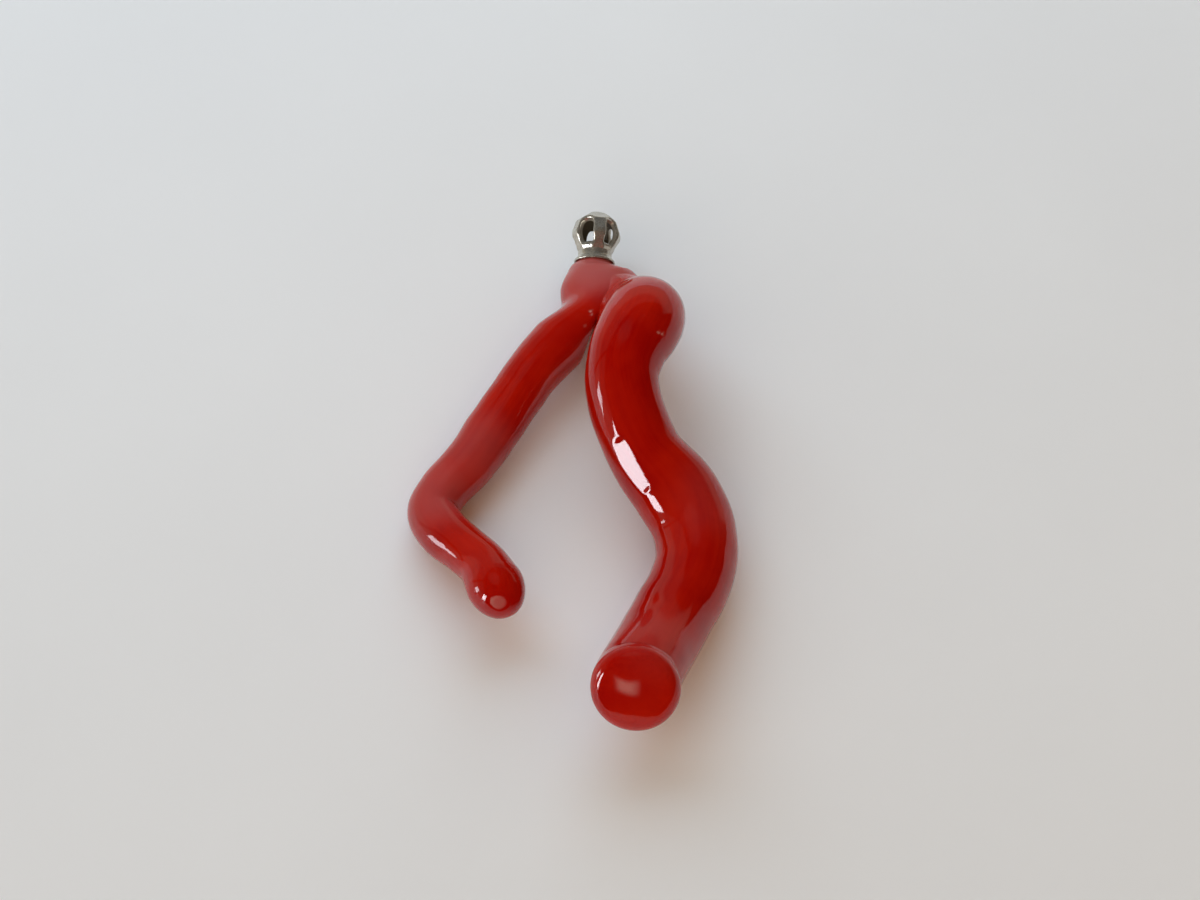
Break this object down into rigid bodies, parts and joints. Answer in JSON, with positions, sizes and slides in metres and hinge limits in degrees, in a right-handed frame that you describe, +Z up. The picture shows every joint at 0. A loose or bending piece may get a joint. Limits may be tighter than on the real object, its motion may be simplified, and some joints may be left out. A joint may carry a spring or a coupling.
{
  "type": "coral branch pendant",
  "caption": "Polished forked branch of red coral with a thick and a thin arm, hung from a small openwork silver crown cap glued on the trunk's end.",
  "frame": {"origin": "centre of the bounding box in plan, on the table that the pendant lies on", "axes": "+Y from the arms' tips to the crown, +Z up from the table, +X to the thick arm's side"},
  "size_m": [0.0296, 0.0552, 0.014],
  "materials": {
    "red_coral": "natural branch ground smooth and polished to a high gloss",
    "silver": "cast silver, polished, a little darkened inside"
  },
  "bodies": {
    "root": {"coral_branch": "red_coral", "crown_cap": "silver"}
  },
  "joints": []
}
